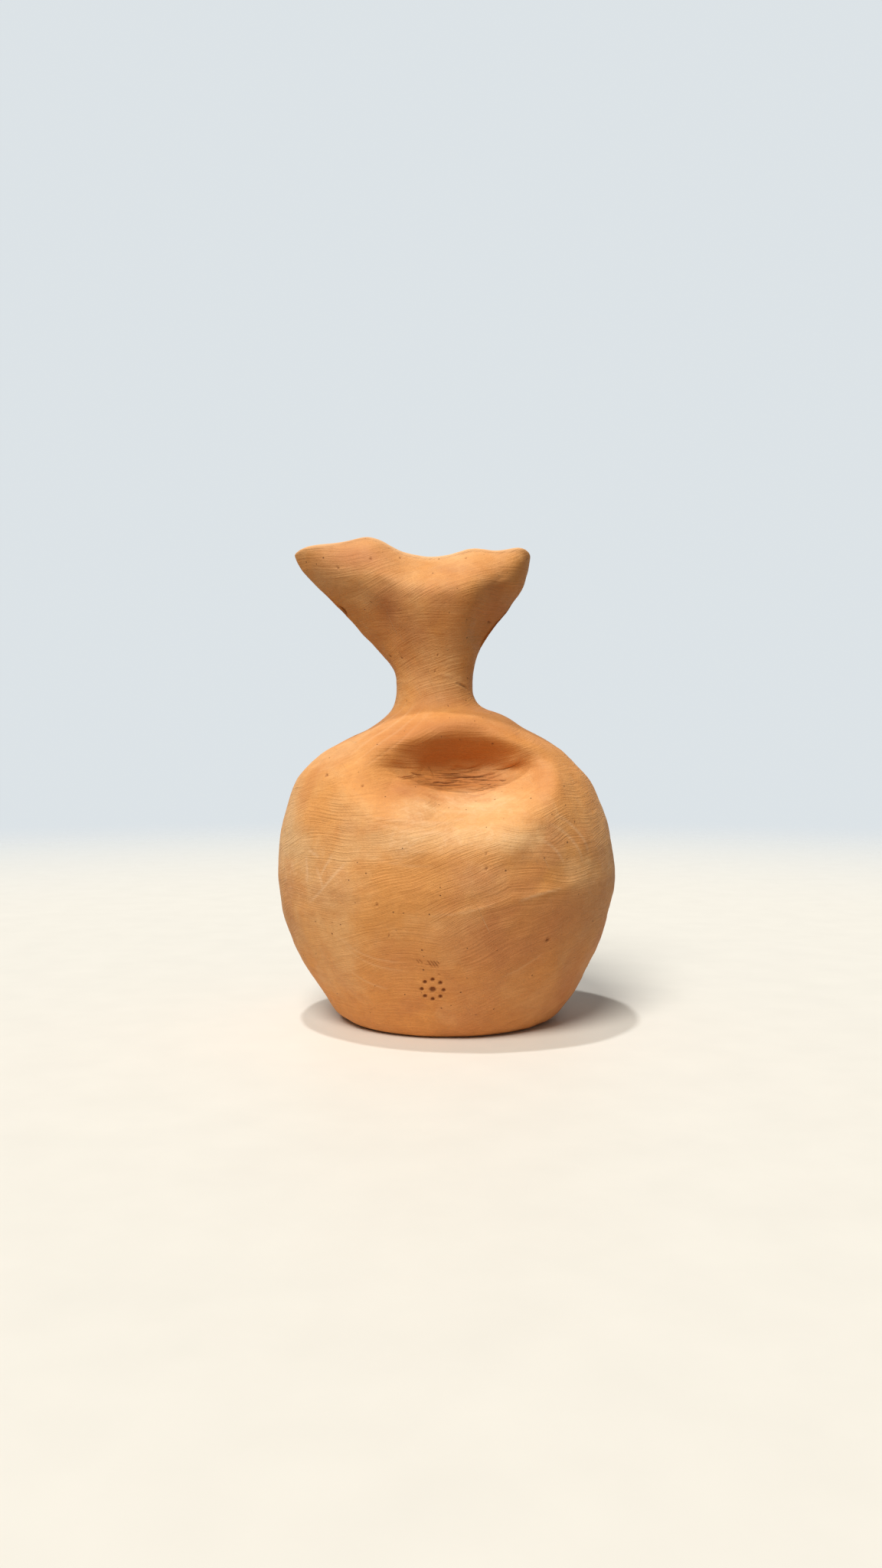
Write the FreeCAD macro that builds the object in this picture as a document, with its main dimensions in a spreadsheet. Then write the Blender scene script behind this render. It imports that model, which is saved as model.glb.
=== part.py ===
import FreeCAD, Part
import math
import os

# A hand-built terracotta vase: a round belly with a dent pressed into its front shoulder, a narrow
# neck, and a flat flared mouth that runs out to a tip at each side, like a fish's tail.
# The potter joined separate members of soft clay with slip, and each member is one solid here.
# Lengths are millimetres. X runs to the viewer's right, Y away from the viewer and Z up, and the
# origin is the middle of the face that the vase stands on.

SIZES = {
    "floor_thickness": 8.0,
    "girth_height": 92.0,
    "shoulder_rise": 96.0,
    "collar_rise": 23.0,
    "mouth_rise": 81.2,
    "foot_width": 120.0,
    "foot_depth": 117.0,
    "belly_width": 211.0,
    "belly_depth": 200.0,
    "neck_width": 48.0,
    "neck_depth": 46.0,
    "neck_offset": 8.0,
    "mouth_left_reach": 88.4,
    "mouth_right_reach": 60.3,
    "mouth_depth": 76.0,
    "mouth_pinch": 25.0,
    "rim_wave": 7.5,
    "wall": 6.5,
    "lip": 4.5,
    "dent_depth": 50.0,
    "dent_left_reach": 76.0,
    "dent_right_reach": 52.0,
    "dent_offset": 10.0,
}

# Lower bowl, from the standing face up to the girth. Each row is a height as a share of the girth
# height, then how far the left and the right side have swollen from the foot, 0, to the belly, 1.
LOWER_BOWL_SHARES = [
    (0.000, 0.000, 0.000),
    (0.008, 0.070, 0.072),
    (0.022, 0.128, 0.135),
    (0.050, 0.205, 0.217),
    (0.100, 0.292, 0.312),
    (0.174, 0.382, 0.426),
    (0.283, 0.530, 0.549),
    (0.413, 0.703, 0.675),
    (0.565, 0.840, 0.815),
    (0.739, 0.956, 0.916),
    (0.891, 0.987, 0.989),
]

# Upper bowl, from the girth up to the collar. Each row is a height as a share of the shoulder's rise,
# then how far the left and the right side are still swollen from the neck, 0, to the belly, 1.
UPPER_BOWL_SHARES = [
    (0.000, 1.000, 1.000),
    (0.100, 0.994, 0.988),
    (0.220, 0.986, 0.970),
    (0.340, 0.965, 0.940),
    (0.420, 0.940, 0.911),
    (0.495, 0.908, 0.878),
    (0.570, 0.865, 0.838),
    (0.645, 0.803, 0.779),
    (0.718, 0.711, 0.703),
    (0.792, 0.586, 0.617),
    (0.865, 0.410, 0.503),
    (0.940, 0.220, 0.358),
]

# Collar, from the shoulder up to the mouth's seam, in the same three columns.
COLLAR_SHARES = [
    (0.00, 0.118, 0.232),
    (0.20, 0.055, 0.105),
    (0.45, 0.015, 0.025),
    (0.72, 0.000, 0.000),
    (1.00, 0.000, 0.000),
]

# Mouth, from its seam up to the rim: height as a share of the mouth's rise, how far the left side, the
# right side and the depth have spread from the neck, 0, to the rim, 1, how far the left and the right
# side are drawn out from round, 0, to a point, 1, how flat the two faces are, and how far the pinch
# leans the front wall back.
MOUTH_SHARES = [
    (0.00, 0.000, 0.000, 0.00, 0.00, 0.00, 0.00, 0.00),
    (0.10, 0.034, 0.028, 0.05, 0.06, 0.05, 0.10, 0.00),
    (0.19, 0.118, 0.080, 0.16, 0.34, 0.22, 0.35, 0.00),
    (0.28, 0.215, 0.174, 0.32, 0.75, 0.55, 0.65, 0.00),
    (0.37, 0.330, 0.306, 0.50, 1.05, 0.80, 0.90, 0.00),
    (0.46, 0.430, 0.455, 0.68, 1.15, 0.85, 1.10, 0.01),
    (0.55, 0.547, 0.610, 0.84, 1.10, 0.72, 1.25, 0.04),
    (0.64, 0.656, 0.735, 0.95, 0.98, 0.52, 1.35, 0.12),
    (0.73, 0.772, 0.868, 1.00, 0.82, 0.34, 1.45, 0.28),
    (0.82, 0.882, 0.934, 0.97, 0.68, 0.20, 1.50, 0.52),
    (0.91, 0.957, 0.986, 0.89, 0.56, 0.12, 1.50, 0.78),
    (1.00, 1.000, 1.000, 0.80, 0.48, 0.08, 1.50, 1.00),
]

# Rim: bearing in degrees about the mouth, then how far the rim stands above its mean as a share of the
# wave. Bearing 0 is the right tip, 90 the back, 180 the left tip and 270 the front.
RIM_SHARES = [
    (0, -0.20),
    (45, 0.25),
    (92, -0.70),
    (135, 0.45),
    (180, 0.05),
    (207, 0.37),
    (229, 0.67),
    (240, 1.03),
    (249, 0.24),
    (258, -0.48),
    (267, -0.67),
    (278, -0.41),
    (289, 0.02),
    (304, -0.12),
    (331, 0.11),
    (348, -0.07),
]

# Dent: height as a share of the shoulder's rise, then how far the front is pressed in, 0 to 1. It slopes
# in to a shelf, is deepest in a crease, and comes out again under the brow at the neck's root.
DENT_SHARES = [
    (0.000, 0.000),
    (0.100, 0.000),
    (0.170, 0.010),
    (0.240, 0.042),
    (0.300, 0.098),
    (0.350, 0.185),
    (0.400, 0.330),
    (0.450, 0.530),
    (0.500, 0.735),
    (0.542, 0.875),
    (0.583, 0.960),
    (0.625, 1.000),
    (0.677, 0.980),
    (0.708, 0.900),
    (0.760, 0.710),
    (0.812, 0.520),
    (0.865, 0.310),
    (0.927, 0.120),
    (0.958, 0.050),
    (1.000, 0.000),
]

# The dent draws together towards its two ends round this share, by this much more at the very end.
DENT_LINE_SHARE = 0.660
DENT_TAPER = 1.2

# Powers that shape the dent's two ends, the points of the mouth and its pinch.
LEFT_POWER = 2.4
RIGHT_POWER = 3.5
POINT_POWER = 1.2
PINCH_POWER = 2

POINTS_AROUND = 72
LOWER_LEVELS = 12
UPPER_LEVELS = 20
COLLAR_LEVELS = 5
MOUTH_LEVELS = 12
LIP_LEVELS = 3
FULL_TURN = 360


def make_sheet(doc):
    """The driving dimensions, one row each, with the size's name as the alias of its cell."""
    sheet = doc.addObject("Spreadsheet::Sheet", "Sizes")
    for row, (name, value) in enumerate(SIZES.items(), start=1):
        sheet.set(f"A{row}", name)
        sheet.set(f"B{row}", str(value))
        sheet.setAlias(f"B{row}", name)
    doc.recompute()
    return sheet


def curve_through(rows, closed=False):
    """A smooth function of each row's first value, which returns the rest of the row as a list."""
    places = [row[0] for row in rows]
    if closed:
        places.append(places[0] + FULL_TURN)
    curves = []
    for column in range(1, len(rows[0])):
        curve = Part.BSplineCurve()
        points = [FreeCAD.Vector(row[0], row[column], 0) for row in rows]
        curve.interpolate(Points=points, PeriodicFlag=closed, Parameters=places)
        curves.append(curve)
    return lambda place: [curve.value(place).y for curve in curves]


def bearings():
    """The angles of a ring's points in radians, from the middle of the back round by the left."""
    return [2 * math.pi * (index / POINTS_AROUND + 1 / 4) for index in range(POINTS_AROUND)]


def even_steps(start, end, count):
    """Places from start to end, both included, in equal steps."""
    return [start + (end - start) * index / count for index in range(count + 1)]


def body_profile(sheet):
    """A function of height that returns the outer wall's left, right, half depth and ridge line."""
    girth = sheet.girth_height
    shoulder = girth + sheet.shoulder_rise
    rows = []
    for height, left, right in LOWER_BOWL_SHARES:
        half_gain = (sheet.belly_width - sheet.foot_width) / 2
        depth_gain = (sheet.belly_depth - sheet.foot_depth) / 2
        rows.append((
            height * girth,
            -sheet.foot_width / 2 - left * half_gain,
            sheet.foot_width / 2 + right * half_gain,
            sheet.foot_depth / 2 + (left + right) / 2 * depth_gain,
            0,
        ))
    neck_left = sheet.neck_width / 2 + sheet.neck_offset
    neck_right = sheet.neck_width / 2 - sheet.neck_offset
    upper = [(girth + height * sheet.shoulder_rise, left, right) for height, left, right in UPPER_BOWL_SHARES]
    upper += [(shoulder + height * sheet.collar_rise, left, right) for height, left, right in COLLAR_SHARES]
    for height, left, right in upper:
        swell = (left + right) / 2
        rows.append((
            height,
            -neck_left - left * (sheet.belly_width / 2 - neck_left),
            neck_right + right * (sheet.belly_width / 2 - neck_right),
            (sheet.neck_depth + swell * (sheet.belly_depth - sheet.neck_depth)) / 2,
            -sheet.neck_offset * (1 - swell),
        ))
    return curve_through(rows)


def dent_at(sheet, pressed, across, height):
    """How far the front wall is pressed in at a place on it: an eye-shaped hollow, deepest in the middle."""
    beside = across - sheet.dent_offset
    if beside < 0:
        reach = -beside / sheet.dent_left_reach
        fade = 1 - reach ** LEFT_POWER
    else:
        reach = beside / sheet.dent_right_reach
        fade = 1 - reach ** RIGHT_POWER
    share = (height - sheet.girth_height) / sheet.shoulder_rise
    share = DENT_LINE_SHARE + (share - DENT_LINE_SHARE) * (1 + DENT_TAPER * reach ** 2)
    if reach >= 1 or not 0 < share < 1:
        return 0
    return sheet.dent_depth * pressed(share)[0] * fade ** 2


def body_ring(sheet, profile, pressed, height):
    """Points of the outer wall at one height, as a lopsided ellipse with the dent pressed into it."""
    left, right, half_depth, ridge = profile(height)
    half_width = (right - left) / 2
    skew = (right + left) / 2 - ridge
    points = []
    for bearing in bearings():
        across = ridge + half_width * math.cos(bearing) + skew * math.cos(bearing) ** 2
        deep = half_depth * math.sin(bearing)
        if deep < 0:
            deep += dent_at(sheet, pressed, across, height)
        points.append(FreeCAD.Vector(across, deep, height))
    return points


def lined_ring(ring, lower, upper, wall):
    """A ring moved in by the wall's thickness, measured square to the slope between two other rings."""
    points = []
    for index, point in enumerate(ring):
        along = ring[(index + 1) % len(ring)] - ring[index - 1]
        outward = FreeCAD.Vector(along.y, -along.x, 0).normalize()
        lean = (upper[index] - lower[index]).dot(outward) / (upper[index].z - lower[index].z)
        points.append(point - outward * wall * math.hypot(1, lean))
    return points


def mouth_profile(sheet):
    """A function of height share that returns the mouth's reaches, half depth, points, flats and pinch."""
    neck = sheet.neck_width / 2
    rows = []
    for height, left, right, depth, left_point, right_point, flat, pinch in MOUTH_SHARES:
        rows.append((
            height,
            neck + left * (sheet.mouth_left_reach - neck),
            neck + right * (sheet.mouth_right_reach - neck),
            (sheet.neck_depth + depth * (sheet.mouth_depth - sheet.neck_depth)) / 2,
            left_point,
            right_point,
            2 + flat,
            pinch * sheet.mouth_pinch,
        ))
    return curve_through(rows)


def mouth_ring(sheet, profile, rim, share, inner=False):
    """Points of the mouth's outer or inner wall at a share of its rise, following the wavy rim."""
    left, right, half_depth, left_point, right_point, flat, pinch = profile(share)
    thickness = sheet.wall + share * (sheet.lip - sheet.wall) if inner else 0
    left -= thickness * (1 + POINT_POWER * left_point)
    right -= thickness * (1 + POINT_POWER * right_point)
    seam = sheet.girth_height + sheet.shoulder_rise + sheet.collar_rise
    points = []
    for bearing in bearings():
        turn = math.cos(bearing)
        power = 1 + POINT_POWER * (right_point * (1 + turn) + left_point * (1 - turn)) / 2
        across = (right + left) / 2 * turn + (right - left) / 2 * turn ** 2 - sheet.neck_offset
        bulge = max(1 - abs(turn) ** flat, 0) ** (power / 2)
        deep = math.copysign((half_depth - thickness) * bulge, math.sin(bearing))
        if deep < 0:
            deep += pinch * math.sin(bearing) ** PINCH_POWER
        wave = rim(math.degrees(bearing) % FULL_TURN)[0]
        height = seam + share * (sheet.mouth_rise + wave * sheet.rim_wave)
        points.append(FreeCAD.Vector(across, deep, height))
    return points


def lip_ring(outer, inner, radius, angle):
    """Points over the rounded lip: the angle runs from the outer wall over the crest to the inner."""
    points = []
    for out, into in zip(outer, inner):
        point = (out + into) / 2 + (out - into) / 2 * math.cos(angle)
        points.append(point + FreeCAD.Vector(0, 0, radius * math.sin(angle)))
    return points


def ring_wire(points):
    """One smooth closed curve through a ring's points."""
    curve = Part.BSplineCurve()
    curve.interpolate(Points=points, PeriodicFlag=True, Parameters=list(range(len(points) + 1)))
    return Part.Wire(curve.toShape())


def add_shape(doc, name, shape):
    """A document object that holds a shape worked out from the sheet."""
    holder = doc.addObject("Part::Feature", name)
    holder.Shape = shape
    return holder


def add_form(doc, name, rings):
    """A solid lofted through rings, each ring an object of its own."""
    sections = [add_shape(doc, f"{name}_ring_{index}", ring_wire(ring)) for index, ring in enumerate(rings)]
    form = doc.addObject("Part::Loft", name)
    form.Sections = sections
    form.Solid = True
    return form


def body_heights(sheet):
    """Heights of the rings, closer together over the shoulder and its dent."""
    girth = sheet.girth_height
    shoulder = girth + sheet.shoulder_rise
    seam = shoulder + sheet.collar_rise
    foot = [share * girth for share, left, right in LOWER_BOWL_SHARES[:4]]
    lower = even_steps(foot[-1], girth, LOWER_LEVELS)[1:]
    upper = even_steps(girth, shoulder, UPPER_LEVELS)[1:]
    collar = even_steps(shoulder, seam, COLLAR_LEVELS)[1:]
    return foot + lower + upper + collar


def add_outer_form(doc, sheet):
    """The pot's outside from the standing face up to the mouth's seam, as one solid."""
    profile = body_profile(sheet)
    pressed = curve_through(DENT_SHARES)
    rings = [body_ring(sheet, profile, pressed, height) for height in body_heights(sheet)]
    return add_form(doc, "outer_form", rings)


def add_inner_form(doc, sheet):
    """The pot's hollow from the top of the floor up to the mouth's seam, as one solid."""
    profile = body_profile(sheet)
    pressed = curve_through(DENT_SHARES)
    seam = body_heights(sheet)[-1]
    heights = [sheet.floor_thickness]
    heights += [height for height in body_heights(sheet) if height > sheet.floor_thickness + sheet.wall / 2]
    rings = []
    for height in heights:
        lower = body_ring(sheet, profile, pressed, height - sheet.wall / 4)
        upper = body_ring(sheet, profile, pressed, min(height + sheet.wall / 4, seam))
        rings.append(lined_ring(body_ring(sheet, profile, pressed, height), lower, upper, sheet.wall))
    return add_form(doc, "inner_form", rings)


def add_mouth_form(doc, sheet):
    """The whole mouth: one skin up the outside, over the lip and down the inside, closed at the seam."""
    profile = mouth_profile(sheet)
    rim = curve_through(RIM_SHARES, closed=True)
    radius = sheet.lip / 2
    shares = even_steps(0, 1 - radius / sheet.mouth_rise, MOUTH_LEVELS)
    outer = [mouth_ring(sheet, profile, rim, share) for share in shares]
    inner = [mouth_ring(sheet, profile, rim, share, inner=True) for share in shares]
    angles = even_steps(0, math.pi, LIP_LEVELS + 1)[1:-1]
    lip = [lip_ring(outer[-1], inner[-1], radius, angle) for angle in angles]
    wires = [ring_wire(ring) for ring in outer + lip + inner[::-1]]
    skin = Part.makeLoft(wires, False, False)
    seam_face = Part.makeFace([wires[0], wires[-1]], "Part::FaceMakerBullseye")
    shell = Part.makeShell(skin.Faces + [seam_face])
    solid = Part.makeSolid(shell)
    return add_shape(doc, "mouth_form", solid)


def add_block(doc, name, low, high, front, back):
    """A cutting block wider than the vase, between expressions for its height and for its depth."""
    block = doc.addObject("Part::Box", name)
    block.setExpression("Length", "2 * Sizes.belly_width")
    block.setExpression("Width", f"({back}) - ({front})")
    block.setExpression("Height", f"({high}) - ({low})")
    block.setExpression("Placement.Base.x", "-Sizes.belly_width")
    block.setExpression("Placement.Base.y", front)
    block.setExpression("Placement.Base.z", low)
    return block


def add_member(doc, name, form, low, high, front="-Sizes.belly_width", back="Sizes.belly_width"):
    """One clay member: what a form holds between two heights, or in front of or behind the middle."""
    member = doc.addObject("Part::Common", name)
    member.Base = form
    member.Tool = add_block(doc, f"{name}_block", low, high, front, back)
    member.Label = name
    return member


def check_document(doc, members):
    """Stop if any object failed to build or any member isn't one valid solid."""
    for item in doc.Objects:
        if "Invalid" in item.State or "Error" in item.State:
            raise RuntimeError(f"{item.Name} failed to build: {item.State}")
    for member in members:
        shape = member.Shape
        if shape.isNull() or not shape.isValid() or len(shape.Solids) != 1:
            raise RuntimeError(f"{member.Label} isn't one valid solid")


def main():
    doc = FreeCAD.newDocument("Vase")
    sheet = make_sheet(doc)
    outer = add_outer_form(doc, sheet)
    inner = add_inner_form(doc, sheet)
    mouth = add_mouth_form(doc, sheet)
    pot = doc.addObject("Part::Cut", "pot_form")
    pot.Base = outer
    pot.Tool = inner
    floor = "Sizes.floor_thickness"
    girth = "Sizes.girth_height"
    shoulder = f"{girth} + Sizes.shoulder_rise"
    seam = f"{shoulder} + Sizes.collar_rise"
    crest = f"{seam} + 2 * Sizes.mouth_rise"
    members = [
        add_member(doc, "floor_slab", outer, "0", floor),
        add_member(doc, "lower_bowl", pot, floor, girth),
        add_member(doc, "upper_bowl", pot, girth, shoulder),
        add_member(doc, "neck_collar", pot, shoulder, seam),
        add_member(doc, "mouth_front", mouth, seam, crest, back="0"),
        add_member(doc, "mouth_back", mouth, seam, crest, front="0"),
    ]
    doc.recompute()
    check_document(doc, members)
    os.makedirs("parts", exist_ok=True)
    for member in members:
        member.Shape.exportStep(os.path.join("parts", f"{member.Label}.step"))
        box = member.Shape.BoundBox
        print(member.Label, len(member.Shape.Faces), round(member.Shape.Volume), [round(value, 1) for value in
              (box.XMin, box.XMax, box.YMin, box.YMax, box.ZMin, box.ZMax)])


main()
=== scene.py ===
import math

import bpy
import numpy as np
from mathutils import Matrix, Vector


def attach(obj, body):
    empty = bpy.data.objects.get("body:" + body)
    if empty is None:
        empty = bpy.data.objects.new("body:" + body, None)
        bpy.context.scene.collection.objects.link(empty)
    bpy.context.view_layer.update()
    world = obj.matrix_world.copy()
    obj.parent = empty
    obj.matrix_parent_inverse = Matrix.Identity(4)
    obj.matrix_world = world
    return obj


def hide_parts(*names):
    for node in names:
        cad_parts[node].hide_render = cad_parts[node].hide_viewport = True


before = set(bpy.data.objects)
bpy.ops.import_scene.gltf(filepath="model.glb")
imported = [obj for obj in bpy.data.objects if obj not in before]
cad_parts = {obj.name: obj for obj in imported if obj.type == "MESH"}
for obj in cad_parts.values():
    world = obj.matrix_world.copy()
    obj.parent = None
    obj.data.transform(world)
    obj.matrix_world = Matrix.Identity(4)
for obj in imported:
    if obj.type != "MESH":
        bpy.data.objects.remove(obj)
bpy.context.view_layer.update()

# The whole skin of the vase. It is one body of brown-orange clay, pinched and coiled by hand, and the
# six members that the potter joined are cut from this one skin further down. Lengths are millimetres
# here and become metres when a mesh is made. The shape repeats the sizes of the part's source, with a
# sharper brow over the dent, softer ends to it and a pinch in the mouth that starts a little higher up.

MILLIMETRE = 0.001
GIRTH_HEIGHT = 92.0
SHOULDER_RISE = 96.0
COLLAR_RISE = 23.0
SHOULDER_HEIGHT = GIRTH_HEIGHT + SHOULDER_RISE
SEAM_HEIGHT = SHOULDER_HEIGHT + COLLAR_RISE
MOUTH_RISE = 81.2
FLOOR_THICKNESS = 8.0
FOOT_WIDTH, FOOT_DEPTH = 120.0, 117.0
BELLY_WIDTH, BELLY_DEPTH = 211.0, 200.0
NECK_WIDTH, NECK_DEPTH = 48.0, 46.0
NECK_OFFSET = 8.0
MOUTH_LEFT_REACH, MOUTH_RIGHT_REACH = 88.4, 60.3
MOUTH_DEPTH = 76.0
MOUTH_PINCH = 25.0
RIM_WAVE = 7.5
WALL = 6.5
LIP = 4.5

# Rows of the belly and the neck: height, then how far the left and the right side have swollen.
LOWER_BOWL_SHARES = [
    (0.000, 0.000, 0.000),
    (0.008, 0.070, 0.072),
    (0.022, 0.128, 0.135),
    (0.050, 0.205, 0.217),
    (0.100, 0.292, 0.312),
    (0.174, 0.382, 0.426),
    (0.283, 0.530, 0.549),
    (0.413, 0.703, 0.675),
    (0.565, 0.840, 0.815),
    (0.739, 0.956, 0.916),
    (0.891, 0.987, 0.989),
]
UPPER_BOWL_SHARES = [
    (0.000, 1.000, 1.000),
    (0.100, 0.994, 0.988),
    (0.220, 0.986, 0.970),
    (0.340, 0.965, 0.940),
    (0.420, 0.940, 0.911),
    (0.495, 0.908, 0.878),
    (0.570, 0.865, 0.838),
    (0.645, 0.803, 0.779),
    (0.718, 0.711, 0.703),
    (0.792, 0.586, 0.617),
    (0.865, 0.410, 0.503),
    (0.940, 0.220, 0.358),
]
COLLAR_SHARES = [
    (0.00, 0.118, 0.232),
    (0.20, 0.055, 0.105),
    (0.45, 0.015, 0.025),
    (0.72, 0.000, 0.000),
    (1.00, 0.000, 0.000),
]


def curve_through(rows, turn=None):
    """A cubic spline through rows of (place, values...). With a turn it closes on itself; otherwise each
    end takes the slope of the cubic through its four nearest rows. Returns a function of places."""
    table = np.array(rows, float)
    places, values = table[:, 0], table[:, 1:]
    if turn:
        places = np.append(places, places[0] + turn)
        values = np.vstack([values, values[:1]])
    steps = np.diff(places)
    rises = np.diff(values, axis=0) / steps[:, None]
    count = len(places)
    inner = np.arange(1, count - 1)
    matrix = np.zeros((count, count))
    target = np.zeros_like(values)
    matrix[inner, inner - 1] = steps[1:]
    matrix[inner, inner] = 2 * (steps[1:] + steps[:-1])
    matrix[inner, inner + 1] = steps[:-1]
    target[inner] = 3 * (steps[1:, None] * rises[:-1] + steps[:-1, None] * rises[1:])
    if turn:
        matrix[0, [0, -1]] = 1, -1
        matrix[-1, [-1, 0, 1, -2]] = 2 * steps[0], 2 * steps[-1], steps[-1], steps[0]
        target[-1] = 3 * (steps[0] * rises[-1] + steps[-1] * rises[0])
    else:
        matrix[0, 0] = matrix[-1, -1] = 1
        for end, near in ((0, slice(0, 4)), (-1, slice(-4, None))):
            target[end] = np.polyfit(places[near] - places[end], values[near], 3)[2]
    slopes = np.linalg.solve(matrix, target)

    def curve(where):
        where = np.asarray(where, float)
        if turn:
            where = (where - places[0]) % turn + places[0]
        step = np.clip(np.searchsorted(places, where, side="right") - 1, 0, count - 2)
        wide = steps[step][..., None]
        share = (where - places[step])[..., None] / wide
        rest = 1 - share
        return (
            values[step] * rest**2 * (1 + 2 * share)
            + values[step + 1] * share**2 * (1 + 2 * rest)
            + wide * share * rest * (slopes[step] * rest - slopes[step + 1] * share)
        )

    return curve


def body_profile():
    """The outer wall's left, right, half depth and ridge line as splines of height."""
    rows = []
    for height, left, right in LOWER_BOWL_SHARES:
        swell = (left + right) / 2
        rows.append((
            height * GIRTH_HEIGHT,
            -(FOOT_WIDTH + left * (BELLY_WIDTH - FOOT_WIDTH)) / 2,
            (FOOT_WIDTH + right * (BELLY_WIDTH - FOOT_WIDTH)) / 2,
            (FOOT_DEPTH + swell * (BELLY_DEPTH - FOOT_DEPTH)) / 2,
            0,
        ))
    upper = [(GIRTH_HEIGHT + height * SHOULDER_RISE, *sides) for height, *sides in UPPER_BOWL_SHARES]
    upper += [(SHOULDER_HEIGHT + height * COLLAR_RISE, *sides) for height, *sides in COLLAR_SHARES]
    neck_left = NECK_WIDTH / 2 + NECK_OFFSET
    neck_right = NECK_WIDTH / 2 - NECK_OFFSET
    for height, left, right in upper:
        swell = (left + right) / 2
        rows.append((
            height,
            -neck_left - left * (BELLY_WIDTH / 2 - neck_left),
            neck_right + right * (BELLY_WIDTH / 2 - neck_right),
            (NECK_DEPTH + swell * (BELLY_DEPTH - NECK_DEPTH)) / 2,
            -NECK_OFFSET * (1 - swell),
        ))
    return curve_through(rows)


def smooth(share):
    """Ease from 0 to 1 with a flat start and a flat end."""
    share = np.clip(share, 0, 1)
    return share * share * (3 - 2 * share)


# The dent was pushed into the front shoulder with the side of a hand: steep under its brow, sloping
# out below to a shelf, and drawn out to an eye's corner at each side.
DENT_DEPTH = 52.0
DENT_LEFT_REACH, DENT_RIGHT_REACH = 76.0, 56.5
DENT_OFFSET = 10.0
DENT_LINE_SHARE = 0.660
DENT_TAPER = 1.2
LEFT_POWER, RIGHT_POWER = 1.8, 2.8
DENT_SHARES = [
    (0.000, 0.000),
    (0.100, 0.000),
    (0.170, 0.010),
    (0.240, 0.042),
    (0.300, 0.098),
    (0.350, 0.185),
    (0.400, 0.330),
    (0.450, 0.530),
    (0.500, 0.735),
    (0.542, 0.875),
    (0.583, 0.955),
    (0.625, 0.995),
    (0.677, 0.970),
    (0.708, 0.895),
    (0.750, 0.745),
    (0.812, 0.495),
    (0.854, 0.300),
    (0.896, 0.120),
    (0.938, 0.005),
    (0.958, -0.020),
    (0.979, -0.015),
    (1.000, 0.000),
]
pressed = curve_through(DENT_SHARES)


def dent_at(across, height):
    """How far the wall is pressed in: a spline over height, which draws together towards the ends,
    times a fade towards each end."""
    beside = across - DENT_OFFSET
    left_share = np.clip(-beside / DENT_LEFT_REACH, 0, 1)
    right_share = np.clip(beside / DENT_RIGHT_REACH, 0, 1)
    fade = 1 - left_share**LEFT_POWER - right_share**RIGHT_POWER
    taper = 1 + DENT_TAPER * np.maximum(left_share, right_share) ** 2
    share = (height - GIRTH_HEIGHT) / SHOULDER_RISE
    share = DENT_LINE_SHARE + (share - DENT_LINE_SHARE) * taper
    return DENT_DEPTH * pressed(np.clip(share, 0, 1))[..., 0] * fade**2


def body_points(profile, heights, bearings):
    """Outer wall: at each height a lopsided ellipse, x = ridge + half cos t + skew cos^2 t and
    y = depth sin t, with the dent added where it faces the front."""
    left, right, depth, ridge = np.moveaxis(profile(heights), -1, 0)
    turn = np.cos(bearings)
    across = ridge + (right - left) / 2 * turn + ((right + left) / 2 - ridge) * turn**2
    deep = depth * np.sin(bearings)
    deep = np.where(deep < 0, deep + dent_at(across, heights), deep)
    return np.stack([across, deep, heights + 0 * across], -1)


def grid_normals(points):
    """Unit normals of a grid of rows that close round on themselves: the cross product of the
    differences between the neighbours along the row and between the neighbouring rows."""
    around = np.roll(points, -1, axis=1) - np.roll(points, 1, axis=1)
    up = np.gradient(points, axis=0)
    normals = np.cross(around, up)
    return normals / np.linalg.norm(normals, axis=-1, keepdims=True)


def lining_points(profile, heights, bearings):
    """Inner wall: the outer wall moved in by its thickness, which is measured square to its slope."""
    step = WALL / 4
    middle = body_points(profile, heights, bearings)
    above = body_points(profile, np.minimum(heights + step, SEAM_HEIGHT), bearings)
    below = body_points(profile, heights - step, bearings)
    along = np.roll(middle, -1, axis=1) - np.roll(middle, 1, axis=1)
    outward = np.stack([along[..., 1], -along[..., 0], 0 * along[..., 0]], -1)
    outward /= np.linalg.norm(outward, axis=-1, keepdims=True)
    rise = above - below
    lean = (rise * outward).sum(-1) / rise[..., 2]
    return middle - outward * (WALL * np.hypot(1, lean))[..., None]


# The mouth flares flat like a fish's tail to a tip at each side; its front wall leans back to a wavy
# rim. Rows: height, spread of the left, the right and the depth, how pointed each side is, how flat the
# faces are, the pinch.
MOUTH_SHARES = [
    (0.00, 0.000, 0.000, 0.00, 0.00, 0.00, 0.00, 0.00),
    (0.10, 0.034, 0.028, 0.05, 0.06, 0.05, 0.10, 0.00),
    (0.19, 0.118, 0.080, 0.16, 0.34, 0.22, 0.35, 0.00),
    (0.28, 0.215, 0.174, 0.32, 0.75, 0.55, 0.65, 0.00),
    (0.37, 0.330, 0.306, 0.50, 1.05, 0.80, 0.90, 0.00),
    (0.46, 0.430, 0.455, 0.68, 1.15, 0.85, 1.10, 0.00),
    (0.55, 0.547, 0.610, 0.84, 1.10, 0.72, 1.25, 0.00),
    (0.64, 0.656, 0.735, 0.95, 0.98, 0.52, 1.35, 0.03),
    (0.73, 0.772, 0.868, 1.00, 0.82, 0.34, 1.45, 0.13),
    (0.82, 0.882, 0.934, 0.97, 0.68, 0.20, 1.50, 0.38),
    (0.91, 0.957, 0.986, 0.89, 0.56, 0.12, 1.50, 0.71),
    (1.00, 1.000, 1.000, 0.80, 0.48, 0.08, 1.50, 1.00),
]
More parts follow.
